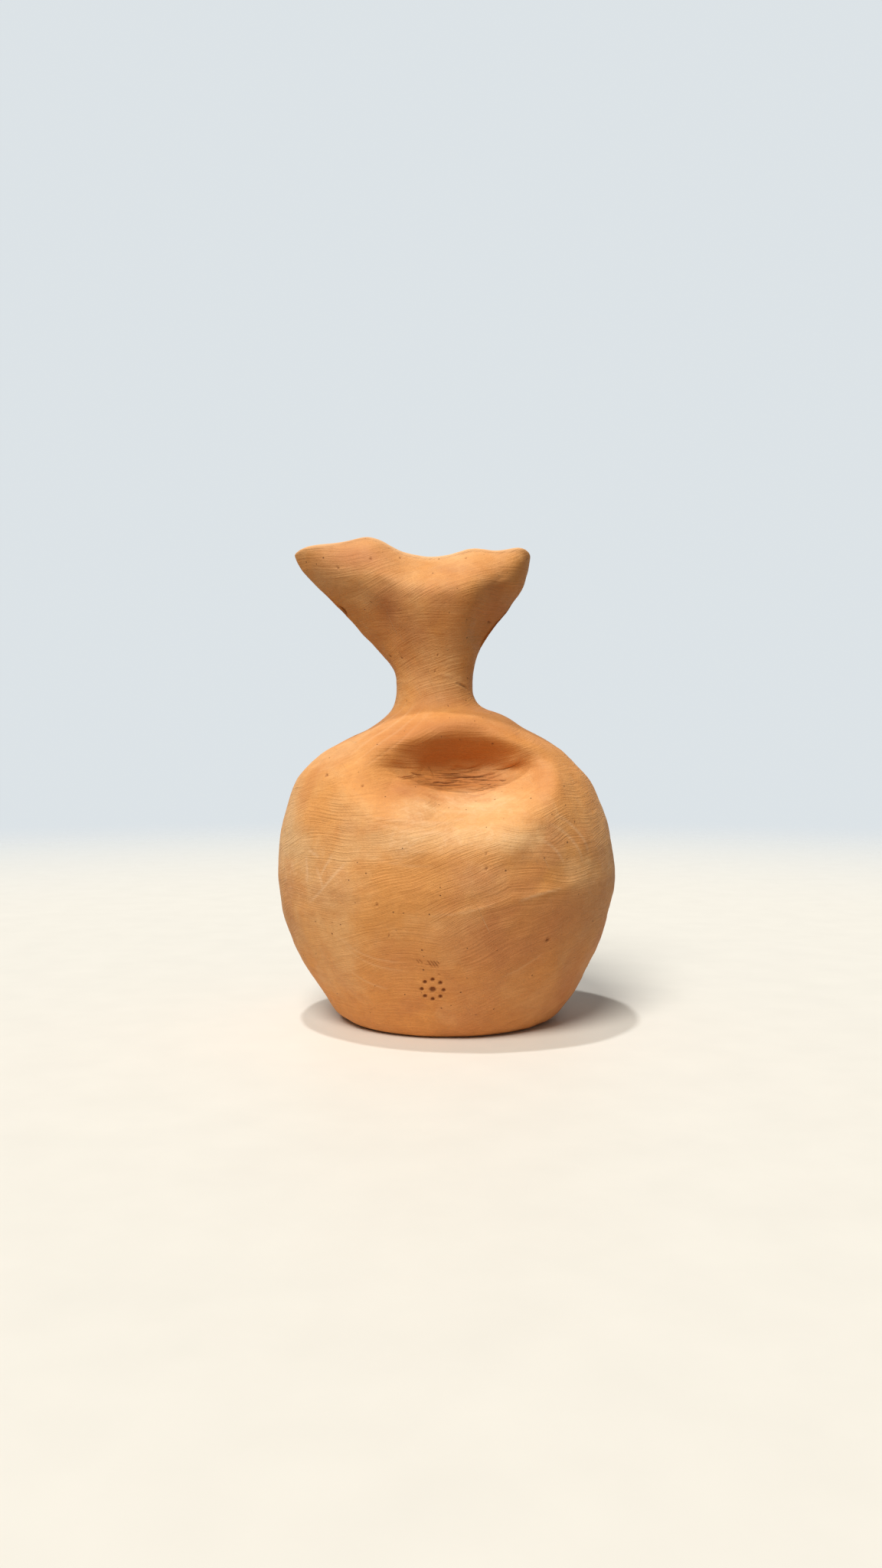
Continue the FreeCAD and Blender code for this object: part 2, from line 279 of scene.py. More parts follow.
RIM_SHARES = [
    (0, -0.20),
    (45, 0.25),
    (92, -0.70),
    (135, 0.45),
    (180, 0.05),
    (207, 0.37),
    (229, 0.67),
    (240, 1.03),
    (249, 0.24),
    (258, -0.48),
    (267, -0.67),
    (278, -0.41),
    (289, 0.02),
    (304, -0.12),
    (331, 0.11),
    (348, -0.07),
]
POINT_POWER = 1.2
PINCH_POWER = 2


def mouth_profile():
    """The mouth's left reach, right reach, half depth, points and pinch as splines of height share."""
    neck = NECK_WIDTH / 2
    rows = []
    for height, left, right, depth, left_point, right_point, flat, pinch in MOUTH_SHARES:
        rows.append((
            height,
            neck + left * (MOUTH_LEFT_REACH - neck),
            neck + right * (MOUTH_RIGHT_REACH - neck),
            (NECK_DEPTH + depth * (MOUTH_DEPTH - NECK_DEPTH)) / 2,
            left_point,
            right_point,
            2 + flat,
            pinch * MOUTH_PINCH,
        ))
    return curve_through(rows)


def mouth_points(profile, rim, shares, bearings, inside=False):
    """Mouth wall: x = mean reach cos t + half their difference cos^2 t, and y = depth times
    (1 - |cos t|^flat)^(power / 2), where the power makes the points and the flat the faces; the front
    leans back by the pinch and the rim's wave lifts z."""
    left, right, depth, left_point, right_point, flat, pinch = np.moveaxis(profile(shares), -1, 0)
    wall = WALL + shares * (LIP - WALL) if inside else 0
    left = left - wall * (1 + POINT_POWER * left_point)
    right = right - wall * (1 + POINT_POWER * right_point)
    turn, face = np.cos(bearings), np.sin(bearings)
    power = 1 + POINT_POWER * (right_point * (1 + turn) + left_point * (1 - turn)) / 2
    across = (right + left) / 2 * turn + (right - left) / 2 * turn**2 - NECK_OFFSET
    deep = np.sign(face) * (depth - wall) * np.clip(1 - np.abs(turn) ** flat, 0, 1) ** (power / 2)
    deep = np.where(face < 0, deep + pinch * np.abs(face) ** PINCH_POWER, deep)
    wave = rim(np.degrees(bearings))[..., 0]
    height = SEAM_HEIGHT + shares * (MOUTH_RISE + wave * RIM_WAVE)
    return np.stack([across, deep, height + 0 * across], -1)


def spaced(start, end, step, *focuses):
    """Places from start to end about a step apart, and closer by a gain round each focus of
    (middle, half width, gain)."""
    fine = np.linspace(start, end, 4001)
    density = np.ones_like(fine)
    for middle, half, gain in focuses:
        density += (gain - 1) / (1 + ((fine - middle) / half) ** 8)
    total = np.concatenate([[0], np.cumsum((density[1:] + density[:-1]) / 2)]) * (fine[1] - fine[0])
    count = max(round(total[-1] / step), 1)
    return np.interp(np.linspace(0, total[-1], count + 1), total, fine)


FRONT_MIDDLE = 1.5 * math.pi
MARK_ACROSS, MARK_HEIGHT = -8.6, 33.0
back_bearings = spaced(0, math.pi, 0.0185)[:-1]
front_bearings = spaced(math.pi, 2 * math.pi, 0.0078, (FRONT_MIDDLE - 0.1, 0.13, 1.9))[:-1]
bearings = np.concatenate([back_bearings, front_bearings])[None, :]
SIDE_COLUMN = len(back_bearings)

FOOT_ROWS = [0, 0.2, 0.5, 0.9, 1.4, 2.0, 2.8, 3.8, 5.0, 6.5]
slab_heights = np.array(FOOT_ROWS + [FLOOR_THICKNESS])
bowl_heights = spaced(FLOOR_THICKNESS, GIRTH_HEIGHT, 1.1, (33.5, 9.5, 3.0), (49.5, 5.0, 2.2))
upper_heights = spaced(GIRTH_HEIGHT, SHOULDER_HEIGHT, 1.35, (150.5, 9.0, 4.6))
collar_heights = spaced(SHOULDER_HEIGHT, SEAM_HEIGHT, 0.9)
mouth_top = 1 - LIP / 2 / MOUTH_RISE
mouth_shares = spaced(0, mouth_top, 0.0115)
LIP_ANGLES = np.linspace(0, math.pi, 12)[1:-1]

profile = body_profile()
mouth = mouth_profile()
rim = curve_through(RIM_SHARES, turn=360)
outer_heights = np.concatenate([slab_heights, bowl_heights[1:], upper_heights[1:], collar_heights[1:-1]])
outer_body = body_points(profile, outer_heights[:, None], bearings)
outer_mouth = mouth_points(mouth, rim, mouth_shares[:, None], bearings)
inner_mouth = mouth_points(mouth, rim, mouth_shares[::-1, None], bearings, inside=True)
lip_middle = (outer_mouth[-1] + inner_mouth[0]) / 2
lip_half = (outer_mouth[-1] - inner_mouth[0]) / 2
lip_rise = np.array([0, 0, LIP / 2])
lip_rows = lip_middle + lip_half * np.cos(LIP_ANGLES)[:, None, None]
lip_rows = lip_rows + lip_rise * np.sin(LIP_ANGLES)[:, None, None]
inner_heights = np.concatenate([
    spaced(FLOOR_THICKNESS, GIRTH_HEIGHT, 6.0)[:-1],
    spaced(GIRTH_HEIGHT, SHOULDER_HEIGHT, 6.0)[:-1],
    spaced(SHOULDER_HEIGHT, SEAM_HEIGHT, 4.0)[:-1],
])[::-1]
inner_body = lining_points(profile, inner_heights[:, None], bearings)
skin = np.concatenate([outer_body, outer_mouth, lip_rows, inner_mouth, inner_body])
MOUTH_ROW = len(outer_body)
INSIDE_ROW = MOUTH_ROW + len(outer_mouth) + len(lip_rows)
LINING_ROW = INSIDE_ROW + len(inner_mouth)
ROWS, COLUMNS = skin.shape[:2]


# What the hands and tools left on the skin: soft lumps from pinching, flat strokes from smoothing, dry
# cracks that opened in the dent as it was pushed in, a few nicks, pinholes and a pressed rosette. All of
# it is real relief. A mask keeps where the clay is cut, because the cuts hold dirt and stay dark.
LUMPS = [
    # length, height, seed
    (58.0, 0.55, 11),
    (27.0, 0.26, 12),
    (13.0, 0.090, 13),
    (6.5, 0.028, 14),
]
RIPPLE_WAVES = 16


def ripples(points, length, seed, squeeze=(1, 1, 1)):
    """Smooth lumps of about -1 to 1: the scaled sum of sine waves that each run in a random direction
    with a random start and a length near the given one."""
    draw = np.random.default_rng(seed)
    waves = draw.normal(size=(RIPPLE_WAVES, 3))
    waves *= (draw.uniform(0.65, 1.4, RIPPLE_WAVES) / np.linalg.norm(waves, axis=1))[:, None]
    waves *= 2 * math.pi / length * np.array(squeeze)
    starts = draw.uniform(0, 2 * math.pi, RIPPLE_WAVES)
    return np.sin(points @ waves.T + starts).sum(-1) * math.sqrt(2 / RIPPLE_WAVES) / 1.6


def distance_to(places, path):
    """Distance from places on the front, seen square on, to the nearest point of a broken line, and
    how far along the line that point lies, from 0 to 1."""
    path = np.array(path, float)
    steps = np.diff(path, axis=0)
    lengths = np.linalg.norm(steps, axis=1)
    before = np.concatenate([[0], np.cumsum(lengths)])
    nearest = np.full(places.shape[:-1], np.inf)
    along = np.zeros(places.shape[:-1])
    for start, step, length, passed in zip(path, steps, lengths, before):
        share = np.clip(((places - start) @ step) / length**2, 0, 1)
        gap = np.linalg.norm(places - start - share[..., None] * step, axis=-1)
        along = np.where(gap < nearest, (passed + share * length) / before[-1], along)
        nearest = np.minimum(nearest, gap)
    return nearest, along


def groove(places, path, width, depth, lip=0.0):
    """A cut along a path: a bell across it, thinned towards both ends, with a raised lip under it."""
    gap, along = distance_to(places, path)
    thin = np.clip(4 * along * (1 - along), 0, 1) ** 0.5
    cut = np.exp(-((gap / (width / 2)) ** 2)) * (0.15 + 0.85 * thin)
    below = np.array(path, float) - [0, width * 1.1]
    ridge = 0
    if lip:
        ridge = np.exp(-((distance_to(places, below)[0] / (width * 0.6)) ** 2)) * thin
    return -depth * cut + lip * ridge, cut


# Each crack: its path across and up, its width, depth and the height of the lip below it.
CRACKS = [
    ([(-8.4, 148.7), (-5.0, 149.2), (-1.5, 148.7), (3.4, 149.1), (6.0, 149.6)], 0.95, 1.5, 0.25),
    ([(-1.6, 151.5), (3.0, 151.3), (7.4, 151.8), (16.9, 152.0), (22.2, 152.7), (29.0, 153.6)],
     0.80, 1.2, 0.30),
    ([(-9.0, 154.6), (-4.1, 154.2), (1.6, 153.8), (7.6, 154.2), (12.3, 154.7), (17.5, 155.9)],
     0.60, 0.6, 0.16),
    ([(-3.5, 152.9), (2.2, 152.8), (7.5, 153.2)], 0.50, 0.5, 0.10),
    ([(-11.9, 158.6), (-9.9, 156.2), (-8.4, 153.8), (-8.2, 151.2)], 0.50, 0.4, 0.0),
    ([(-29.6, 152.2), (-27.0, 151.6), (-24.2, 152.1), (-20.0, 152.6)], 0.70, 0.7, 0.75),
    ([(-21.8, 154.4), (-18.2, 153.2), (-13.4, 153.0)], 0.65, 0.8, 0.55),
    ([(-13.6, 147.9), (-10.6, 147.4), (-3.7, 147.0), (3.3, 147.2), (10.7, 147.8), (14.5, 148.5)],
     0.60, 0.7, 0.22),
    ([(-8.0, 146.0), (-5.2, 145.6), (-2.6, 145.5)], 0.50, 0.5, 0.10),
    ([(4.5, 145.8), (9.0, 146.2), (16.8, 147.0)], 0.50, 0.5, 0.16),
    ([(16.7, 145.0), (19.4, 145.6), (23.3, 147.0), (27.0, 148.6)], 0.55, 0.6, 0.18),
    ([(-1.6, 144.3), (3.0, 143.5), (9.7, 143.3), (15.0, 143.5), (21.0, 144.6), (26.0, 146.2), (31.0, 148.6)],
     0.55, 0.5, 0.18),
    ([(15.5, 149.2), (18.9, 149.7), (23.5, 150.5), (27.2, 151.5), (33.0, 153.4)], 0.50, 0.6, 0.14),
    ([(31.0, 150.6), (33.0, 150.1), (35.0, 150.5)], 0.80, 0.9, 0.35),
    ([(28.0, 155.4), (34.0, 156.2), (39.0, 158.2), (44.0, 161.4)], 0.60, 0.6, 0.12),
    ([(5.0, 141.6), (14.0, 141.2), (22.0, 142.5), (29.0, 145.0)], 0.50, 0.35, 0.10),
    ([(-17.0, 150.6), (-12.0, 150.4), (-7.0, 150.8)], 0.50, 0.4, 0.08),
    ([(0.0, 156.4), (6.0, 156.0), (13.0, 156.8), (19.0, 158.4)], 0.50, 0.4, 0.12),
]
# Short slanting nicks over the rosette, and the rest of the small cuts, in the same columns.
NICKS = [
    ([(-19.9, 51.2), (-18.7, 50.5)], 0.45, 0.20, 0.0),
    ([(-18.0, 50.9), (-15.9, 48.6)], 0.65, 0.50, 0.12),
    ([(-16.2, 50.9), (-14.0, 48.9)], 0.65, 0.50, 0.12),
    ([(-11.5, 50.9), (-8.6, 46.5)], 0.60, 0.70, 0.12),
    ([(-9.8, 50.9), (-6.8, 46.6)], 0.60, 0.70, 0.12),
    ([(-8.1, 50.8), (-5.2, 46.8)], 0.60, 0.70, 0.12),
    ([(-6.4, 50.7), (-4.6, 48.5)], 0.60, 0.55, 0.12),
    ([(-5.6, 42.9), (-4.2, 42.0)], 1.00, 0.40, 0.0),
    ([(5.4, 209.4), (9.0, 208.2), (12.2, 206.5)], 1.10, 0.80, 0.25),
]
# Pinholes where grit burned out: across, height and radius.
PINHOLES = [
    (56.8, 60.1, 1.15),
    (-39.6, 82.1, 0.75),
    (-71.0, 153.4, 0.80),
    (-48.8, 147.7, 0.75),
    (21.3, 102.8, 0.70),
    (21.2, 110.8, 0.50),
    (-33.3, 64.5, 0.50),
    (-46.4, 284.3, 0.80),
    (-66.9, 279.5, 0.75),
    (-29.2, 285.6, 0.60),
    (11.5, 285.9, 0.55),
    (28.0, 246.6, 0.80),
    (-28.6, 224.6, 0.60),
    (-35.7, 226.4, 0.55),
    (-7.5, 216.3, 0.55),
    (-5.8, 226.0, 0.50),
    (0.7, 195.1, 0.50),
]
# Fine scratches, pale with dust, and the crests of smoothing strokes, whose paleness is partly dust and
# partly a painted highlight where they catch the light: path, width, depth (below zero for a crest) and
# paleness.
SCORES = [
    ([(39.7, 84.3), (48.0, 86.6), (56.0, 88.4), (64.0, 89.8)], 1.3, -0.25, 0.60),
    ([(-10.0, 76.6), (8.0, 78.8), (26.4, 83.2)], 1.1, -0.12, 0.35),
    ([(-49.5, 132.3), (-38.0, 129.6), (-26.9, 128.3), (-10.6, 126.9), (5.8, 128.3), (22.8, 132.3)],
     1.3, -0.38, 0.40),
    ([(-50.5, 130.4), (-38.5, 127.5), (-26.9, 126.0), (-10.6, 124.8), (6.4, 126.2), (23.8, 130.3)],
     1.0, 0.26, 0.0),
    ([(-44.0, 128.5), (-24.0, 123.2), (-6.0, 121.9), (14.0, 123.6), (30.0, 127.4)], 1.1, -0.22, 0.35),
    ([(-14.0, 135.4), (-2.0, 133.0), (12.0, 132.6), (25.0, 135.0), (36.0, 139.4)], 1.1, -0.26, 0.35),
    ([(-13.0, 133.8), (-1.6, 131.4), (12.4, 131.0), (26.0, 133.4), (37.6, 138.0)], 0.9, 0.18, 0.0),
    ([(-80.9, 110.8), (-77.6, 108.4), (-74.5, 106.8)], 1.5, 0.16, 0.95),
    ([(-58.3, 104.1), (-64.2, 97.6), (-69.1, 92.0), (-75.2, 85.2), (-80.6, 79.9)], 1.4, 0.14, 0.85),
    ([(-82.6, 106.8), (-82.2, 98.9), (-82.7, 90.9)], 1.5, 0.14, 0.85),
    ([(-76.0, 100.4), (-73.2, 94.0), (-71.6, 88.5)], 1.4, 0.12, 0.80),
    ([(-66.0, 108.0), (-70.6, 101.0), (-73.0, 96.0)], 1.3, 0.10, 0.70),
    ([(52.0, 118.0), (60.0, 112.4), (66.0, 104.0)], 1.3, 0.10, 0.65),
    ([(58.0, 126.0), (67.0, 121.0), (74.0, 113.0), (78.0, 103.0)], 1.4, 0.10, 0.60),
    ([(62.0, 131.0), (71.0, 125.6), (78.4, 117.0), (82.0, 108.0)], 1.4, 0.10, 0.55),
    ([(-34.0, 116.5), (-20.0, 112.6), (-4.0, 111.6), (10.0, 112.8)], 1.2, -0.16, 0.28),
    ([(-52.0, 113.0), (-40.0, 107.8), (-24.0, 104.6), (-8.0, 104.0)], 1.1, 0.14, 0.24),
    ([(-62.0, 62.0), (-52.0, 55.0), (-40.0, 50.6), (-27.0, 48.8)], 1.1, 0.14, 0.35),
    ([(-58.0, 56.0), (-48.0, 49.6), (-37.0, 45.6), (-25.0, 44.0)], 1.1, 0.12, 0.30),
    ([(-56.0, 42.0), (-46.0, 36.0), (-34.0, 32.4)], 1.1, 0.12, 0.35),
    ([(30.0, 40.0), (42.0, 44.6), (54.0, 52.4)], 1.1, 0.12, 0.28),
    ([(-4.9, 214.6), (-1.0, 213.8), (3.1, 212.9)], 2.4, -0.50, 0.20),
    ([(-58.0, 165.0), (-44.0, 175.0), (-31.0, 184.0), (-21.0, 195.0)], 1.3, -0.24, 0.30),
    ([(-54.0, 161.0), (-39.0, 172.0), (-25.0, 182.0), (-15.0, 194.0)], 1.1, -0.20, 0.26),
    ([(-49.0, 158.0), (-35.0, 168.0), (-20.0, 180.0), (-10.0, 191.0)], 1.1, 0.18, 0.14),
    ([(-62.0, 168.0), (-49.0, 178.0), (-35.0, 187.0), (-25.0, 198.0)], 1.2, -0.22, 0.26),
]
MARK_DOTS = 8
MARK_RADIUS = 6.2
DOT_RADIUS, MIDDLE_DOT_RADIUS = 1.05, 1.7
DOT_DEPTH = 0.9
CHIP_ACROSS, CHIP_HEIGHT, CHIP_RADIUS, CHIP_DEPTH = -66.0, 255.4, 3.4, 1.1

normals = grid_normals(skin)
relief = np.zeros((ROWS, COLUMNS))
cuts = np.zeros((ROWS, COLUMNS))
for length, height, seed in LUMPS:
    relief += height * ripples(skin, length, seed)

# Flats left by a rib or a thumb drawn across the clay: long ripples that lie down along the stroke.
STROKES = [
    # length, height, seed, squeeze across, deep and up
    (7.5, 0.055, 21, (0.22, 0.22, 1.0)),
    (3.4, 0.030, 22, (0.16, 0.16, 1.0)),
]
for length, height, seed, squeeze in STROKES:
    relief += height * ripples(skin, length, seed, squeeze)

front = (normals[..., 1] < 0.15) & (np.arange(ROWS) < INSIDE_ROW)[:, None]
places = skin[..., [0, 2]]

# Soft valleys where the mouth's front leaf folds towards its two tips, and, with a depth below zero,
# the rolls of clay on the brow, the rim, the dent's edge and the join of the two bowls: path, half
# width and depth.
VALLEYS = [
    ([(-30.0, 181.5), (-12.0, 186.0), (8.0, 187.0), (26.0, 186.0), (44.0, 180.0)], 5.5, -2.3),
    ([(-84.0, 289.0), (-62.0, 290.0), (-44.0, 292.0), (-27.0, 286.0), (-14.0, 281.0), (6.0, 281.0)],
     8.0, -1.4),
    ([(-34.0, 147.0), (-20.0, 141.0), (-6.0, 137.0)], 8.0, -1.4),
    ([(17.0, 153.5), (30.0, 157.0), (41.0, 162.0), (48.0, 168.0)], 3.6, -1.5),
    ([(-36.0, 166.0), (-25.0, 160.0), (-15.0, 156.0)], 3.6, -1.2),
    ([(-3.0, 156.0), (5.0, 159.4), (13.0, 158.4), (22.0, 161.0)], 2.4, -0.9),
    ([(-14.0, 76.2), (8.0, 78.6), (26.0, 82.4), (44.0, 86.2), (62.0, 89.4), (84.0, 95.0)], 3.0, -0.60),
    ([(44.0, 284.0), (35.0, 272.0), (26.0, 258.0), (20.5, 245.0), (17.0, 230.0)], 7.5, 3.2),
    ([(-62.0, 270.0), (-41.0, 250.0), (-30.0, 232.0)], 6.0, 1.8),
    ([(-14.0, 266.0), (4.0, 262.0), (20.0, 266.0)], 8.0, -1.4),
]
for path, half_width, depth in VALLEYS:
    gap, along = distance_to(places, path)
    relief -= depth * np.exp(-((gap / half_width) ** 2)) * smooth(4 * along * (1 - along) + 0.15) * front


def cut_region(path, margin):
    """The front's grid points within a margin of a path's box."""
    path = np.array(path, float)
    low, high = path.min(0) - margin, path.max(0) + margin
    return front & (places >= low).all(-1) & (places <= high).all(-1)


# The torn strip under the brow is wrinkled all over, finely, along the cracks.
WRINKLE_MIDDLE, WRINKLE_SIZE = (8.0, 149.5), (31.0, 7.0)
WRINKLE_LENGTH, WRINKLE_HEIGHT, WRINKLE_SQUEEZE, WRINKLE_SEED = 2.2, 0.20, (0.08, 0.3, 1.0), 31
wrinkled = np.exp(-((((places - WRINKLE_MIDDLE) / WRINKLE_SIZE) ** 2).sum(-1) ** 1.5)) * front
relief += WRINKLE_HEIGHT * wrinkled * ripples(skin, WRINKLE_LENGTH, WRINKLE_SEED, WRINKLE_SQUEEZE)

# The clay under the brow and over its torn strip is painted darker and redder: painted shade from the brow's
# overhang.
HOLLOW_SHADE_MIDDLE, HOLLOW_SHADE_SIZE = (4.0, 169.5), (46.0, 16.5)
hollow_shade = np.exp(-((((places - HOLLOW_SHADE_MIDDLE) / HOLLOW_SHADE_SIZE) ** 2).sum(-1) ** 1.5)) * front
painted_brow_shade = np.maximum(wrinkled, hollow_shade)

for path, width, depth, lip in CRACKS + NICKS:
    near = cut_region(path, 4 * width)
    drop, cut = groove(places[near], path, width, depth, lip)
    relief[near] += drop
    cuts[near] = np.maximum(cuts[near], cut * min(depth / 1.1, 0.85))

scores_and_crest_highlights = np.zeros((ROWS, COLUMNS))
for path, width, depth, paleness in SCORES:
    bent = curve_through([(place, *point) for place, point in enumerate(path)])
    path = bent(np.linspace(0, len(path) - 1, 4 * len(path)))
    near = cut_region(path, 3 * width)
    drop, line = groove(places[near], path, width, depth)
    relief[near] += drop
    scores_and_crest_highlights[near] = np.maximum(scores_and_crest_highlights[near], paleness * line)

for across, height, radius in PINHOLES:
    near = cut_region([(across, height)], 4 * radius)
    gap = np.linalg.norm(places[near] - (across, height), axis=-1)
    hole = np.exp(-((gap / radius * 1.2) ** 2))
    relief[near] -= radius * hole
    cuts[near] = np.maximum(cuts[near], 0.8 * hole)

turns = np.arange(MARK_DOTS) * 2 * math.pi / MARK_DOTS
dots = [(MARK_ACROSS + MARK_RADIUS * math.sin(turn), MARK_HEIGHT + MARK_RADIUS * math.cos(turn), DOT_RADIUS)
        for turn in turns]
dots.append((MARK_ACROSS, MARK_HEIGHT, MIDDLE_DOT_RADIUS))
for across, height, radius in dots:
    near = cut_region([(across, height)], 3 * radius)
    gap = np.linalg.norm(places[near] - (across, height), axis=-1)
    press = 1 / (1 + (gap / radius) ** 8)
    relief[near] -= DOT_DEPTH * press
    cuts[near] = np.maximum(cuts[near], press)

chip_gap = np.linalg.norm(skin - [CHIP_ACROSS, 0, CHIP_HEIGHT], axis=-1) / CHIP_RADIUS
chip = np.exp(-(chip_gap**4)) * (np.arange(ROWS) < INSIDE_ROW)[:, None]
relief -= CHIP_DEPTH * chip
cuts = np.maximum(cuts, 0.35 * chip)

# The foot is cut flat, so nothing lifts or lowers it.
FOOT_EASE_HEIGHT = 3.0
foot_ease = smooth(skin[..., 2] / FOOT_EASE_HEIGHT)
skin = skin + normals * (relief * foot_ease)[..., None]
normals = grid_normals(skin)

# The lip is rubbed by hands, so a few rows of it are paler; the same paleness is also a painted highlight
# along the lip's edge.
PALE_LIP_ROWS = 4.5
lip_row = MOUTH_ROW + len(outer_mouth) + len(lip_rows) / 2
lip_wear_and_highlight = np.exp(-(((np.arange(ROWS)[:, None] - lip_row) / PALE_LIP_ROWS) ** 2)) + np.zeros((ROWS, COLUMNS))


# Unglazed terracotta, smoothed wet and rubbed when leather-hard: warm orange with pale and pinkish clouds,
# partly from the fire and partly painted light and shade, painted shade under the brow, fine smoothing
# strokes, grit, pinholes and a few pale scuffs.
def new_group(name, inputs, outputs):
    """An empty shader node group with named inputs of (name, socket type, value) and outputs."""
    group = bpy.data.node_groups.new(name, "ShaderNodeTree")
    for label, kind, value in inputs:
        socket = group.interface.new_socket(label, in_out="INPUT", socket_type=kind)
        if value is not None:
            socket.default_value = value
    for label, kind in outputs:
        group.interface.new_socket(label, in_out="OUTPUT", socket_type=kind)
    return group


class Nodes:
    """Short ways to add nodes to a tree and to link or set their inputs."""

    def __init__(self, tree):
        self.tree = tree

    def add(self, kind, inputs=None, **settings):
        node = self.tree.nodes.new(kind)
        for name, value in settings.items():
            setattr(node, name, value)
        for name, value in (inputs or {}).items():
            self.put(node.inputs[name], value)
        return node

    def put(self, socket, value):
        if isinstance(value, bpy.types.NodeSocket):
            self.tree.links.new(value, socket)
        else:
            socket.default_value = value

    def math(self, operation, *values, clamp=False):
        node = self.add("ShaderNodeMath", operation=operation, use_clamp=clamp)
        for socket, value in zip(node.inputs, values):
            self.put(socket, value)
        return node.outputs[0]

    def vector(self, operation, *values):
        node = self.add("ShaderNodeVectorMath", operation=operation)
        for socket, value in zip(node.inputs, values):
            self.put(socket, value)
        return node.outputs[0]

    def mix(self, share, low, high, blend="MIX"):
        node = self.add("ShaderNodeMix", data_type="RGBA", blend_type=blend)
        self.put(node.inputs["Factor"], share)
        for socket, value in zip([one for one in node.inputs if one.type == "RGBA"], (low, high)):
            self.put(socket, value)
        return [one for one in node.outputs if one.type == "RGBA"][0]

    def between(self, value, low, high):
        """Ease a value to 0 at low and 1 at high."""
        inputs = {"Value": value, "From Min": low, "From Max": high}
        return self.add("ShaderNodeMapRange", inputs, interpolation_type="SMOOTHSTEP").outputs[0]

    def seen(self):
        """1 for rays that bring the camera its picture, also by way of a mirror or glass, and 0 for the
        rays that only light things."""
        rays = self.add("ShaderNodeLightPath").outputs
        straight = self.math("MAXIMUM", rays["Is Camera Ray"], rays["Is Transmission Ray"])
        return self.math("MAXIMUM", straight, rays["Is Glossy Ray"])

    def noise(self, place, scale, detail=3.0, roughness=0.5, distortion=0.0):
        inputs = {"Vector": place, "Scale": scale, "Detail": detail, "Roughness": roughness,
                  "Distortion": distortion}
        return self.add("ShaderNodeTexNoise", inputs).outputs[0]


def clay_clouds():
    """Group: the clay's colour. Wide clouds blend the three colours of the firing, smaller ones vary
    their depth, and fine grit speckles them."""
    group = new_group(
        "clay_clouds",
        [
            ("Place", "NodeSocketVector", None),
            ("Warm", "NodeSocketColor", None),
            ("Pale", "NodeSocketColor", None),
            ("Rosy", "NodeSocketColor", None),
            ("Pale Lift", "NodeSocketFloat", 0.0),
            ("Rosy Lift", "NodeSocketFloat", 0.0),
            ("Cloud Size", "NodeSocketFloat", 0.06),
            ("Grit Size", "NodeSocketFloat", 0.001),
        ],
        [("Color", "NodeSocketColor"), ("Grit", "NodeSocketFloat")],
    )
    nodes = Nodes(group)
    given = nodes.add("NodeGroupInput").outputs
    result = nodes.add("NodeGroupOutput").inputs
    place = given["Place"]
    clouds = nodes.math("DIVIDE", 1.0, given["Cloud Size"])
    shifted = nodes.vector("ADD", place, (3.1, 1.7, 0.4))
    pale = nodes.between(nodes.noise(place, clouds, 4.0, 0.58, 0.3), 0.42, 0.70)
    rosy = nodes.between(nodes.noise(shifted, clouds, 4.0, 0.55, 0.4), 0.46, 0.72)
    pale = nodes.math("ADD", nodes.math("MULTIPLY", pale, 0.55), given["Pale Lift"], clamp=True)
    rosy = nodes.math("ADD", nodes.math("MULTIPLY", rosy, 0.55), given["Rosy Lift"], clamp=True)
    colour = nodes.mix(pale, given["Warm"], given["Pale"])
    colour = nodes.mix(rosy, colour, given["Rosy"])
    patches = nodes.noise(shifted, nodes.math("MULTIPLY", clouds, 6.0), 5.0, 0.65, 0.6)
    depth = nodes.mix(nodes.between(patches, 0.20, 0.80), (0.93, 0.89, 0.85, 1), (1.05, 1.07, 1.09, 1))
    colour = nodes.mix(1.0, colour, depth, "MULTIPLY")
    grit = nodes.noise(place, nodes.math("DIVIDE", 1.0, given["Grit Size"]), 2.0, 0.6)
    grain = nodes.math("ADD", 0.86, nodes.math("MULTIPLY", grit, 0.28))
    nodes.put(result["Color"], nodes.mix(1.0, colour, grain, "MULTIPLY"))
    nodes.put(result["Grit"], grit)
    return group


def smoothing_strokes():
    """Group: streaks that lie along a stroke, as noise pressed thin in one direction and bent a little."""
    group = new_group(
        "smoothing_strokes",
        [
            ("Place", "NodeSocketVector", None),
            ("Length", "NodeSocketFloat", 0.03),
            ("Width", "NodeSocketFloat", 0.001),
            ("Bend", "NodeSocketFloat", 0.004),
        ],
        [("Height", "NodeSocketFloat")],
    )
    nodes = Nodes(group)
    given = nodes.add("NodeGroupInput").outputs
    result = nodes.add("NodeGroupOutput").inputs
    bend = nodes.math("SUBTRACT", nodes.noise(given["Place"], 22.0, 1.0), 0.5)
    lift = nodes.add("ShaderNodeCombineXYZ", {"Z": nodes.math("MULTIPLY", bend, given["Bend"])}).outputs[0]
    bent = nodes.vector("ADD", given["Place"], lift)
    sides = {"X": given["Length"], "Y": given["Length"], "Z": given["Width"]}
    size = nodes.add("ShaderNodeCombineXYZ", sides).outputs[0]
    streaks = nodes.noise(nodes.vector("DIVIDE", bent, size), 1.0, 4.0, 0.6)
    nodes.put(result["Height"], streaks)
    return group


